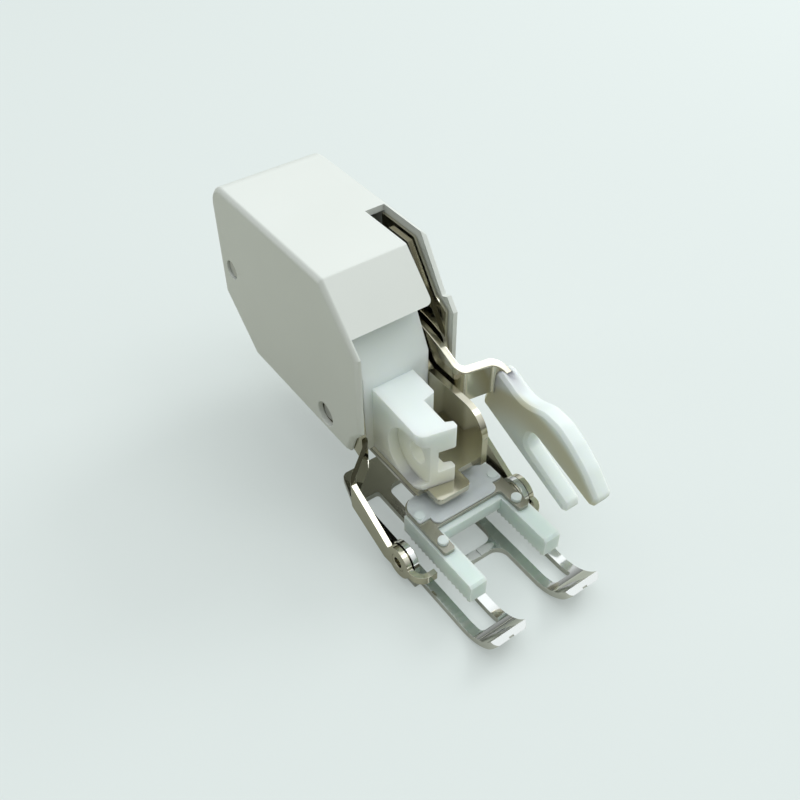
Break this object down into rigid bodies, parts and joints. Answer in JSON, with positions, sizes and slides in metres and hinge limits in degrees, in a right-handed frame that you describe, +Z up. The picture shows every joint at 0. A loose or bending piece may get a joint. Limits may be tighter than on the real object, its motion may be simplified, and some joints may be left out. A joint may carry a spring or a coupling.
{
  "type": "walking presser foot",
  "caption": "Open-toe walking presser foot for a sewing machine: a drive fork works a lifting, sliding upper feed dog inside a sprung, tilting slotted sole.",
  "frame": {"origin": "middle of the sole's crossbar on its underside, at the level of the cloth", "axes": "+X to the drive fork's side, +Y to the back of the machine, +Z up along the presser bar"},
  "size_m": [0.0314, 0.0827, 0.0462],
  "materials": {
    "ivory_plastic": "satin moulded",
    "milky_nylon": "translucent moulded",
    "feed_nylon": "translucent moulded",
    "nickel_plate": "bright nickel",
    "satin_plate": "satin nickel",
    "bright_chrome": "polished chrome",
    "plain_steel": "turned steel",
    "spring_wire": "drawn wire"
  },
  "bodies": {
    "frame": {"housing_cover": "ivory_plastic", "cover_screw": "plain_steel", "frame_bracket": "nickel_plate", "block_screws": "plain_steel", "shank_block": "milky_nylon", "lever_pin": "plain_steel", "rocker_pin": "plain_steel", "spring_anchor": "plain_steel"},
    "yoke": {"left_arm": "nickel_plate", "right_arm": "nickel_plate", "yoke_shaft": "plain_steel", "left_pivot_rivet": "nickel_plate", "right_pivot_rivet": "nickel_plate", "yoke_spring": "spring_wire"},
    "tilting_sole": {"sole": "bright_chrome"},
    "lever": {"fork_lever": "nickel_plate", "drive_fork": "milky_nylon", "lever_hub": "plain_steel", "lift_cam": "milky_nylon", "lever_spring": "spring_wire"},
    "rocker": {"lift_rocker": "milky_nylon", "guide_pins": "plain_steel"},
    "carriage": {"feed_plate": "satin_plate", "feed_dog": "feed_nylon", "feed_spring": "spring_wire"}
  },
  "joints": [
    {"name": "yoke_lift", "type": "hinge", "parent": "frame", "child": "yoke", "pos_m": [0, 0.0302, 0.0167], "axis": [-1, 0, 0], "range_deg": [0, 4.5], "stiffness_Nm_per_rad": 0.6, "springref_deg": -6.88, "deforming": ["yoke_spring"]},
    {"name": "sole_tilt", "type": "hinge", "parent": "yoke", "child": "tilting_sole", "pos_m": [0, 0.0045, 0.0043], "axis": [-1, 0, 0], "range_deg": [-8, 8]},
    {"name": "lever_swing", "type": "hinge", "parent": "frame", "child": "lever", "pos_m": [0, 0.0609, 0.0295], "axis": [-1, 0, 0], "range_deg": [0, 32], "stiffness_Nm_per_rad": 0.02, "springref_deg": -28.65, "deforming": ["lever_spring"]},
    {"name": "feed_drop", "type": "hinge", "parent": "frame", "child": "rocker", "pos_m": [0, 0.046, 0.017], "axis": [1, 0, 0], "range_deg": [0, 2.75]},
    {"name": "feed_slide", "type": "slide", "parent": "rocker", "child": "carriage", "axis": [0, 1, 0], "range_m": [0, 0.005], "stiffness_N_per_m": 120, "springref_m": -0.004, "deforming": ["feed_spring"]}
  ],
  "couplings": [
    {"joint": "feed_drop", "follows": "lever_swing", "ratio": 0.085938}
  ]
}
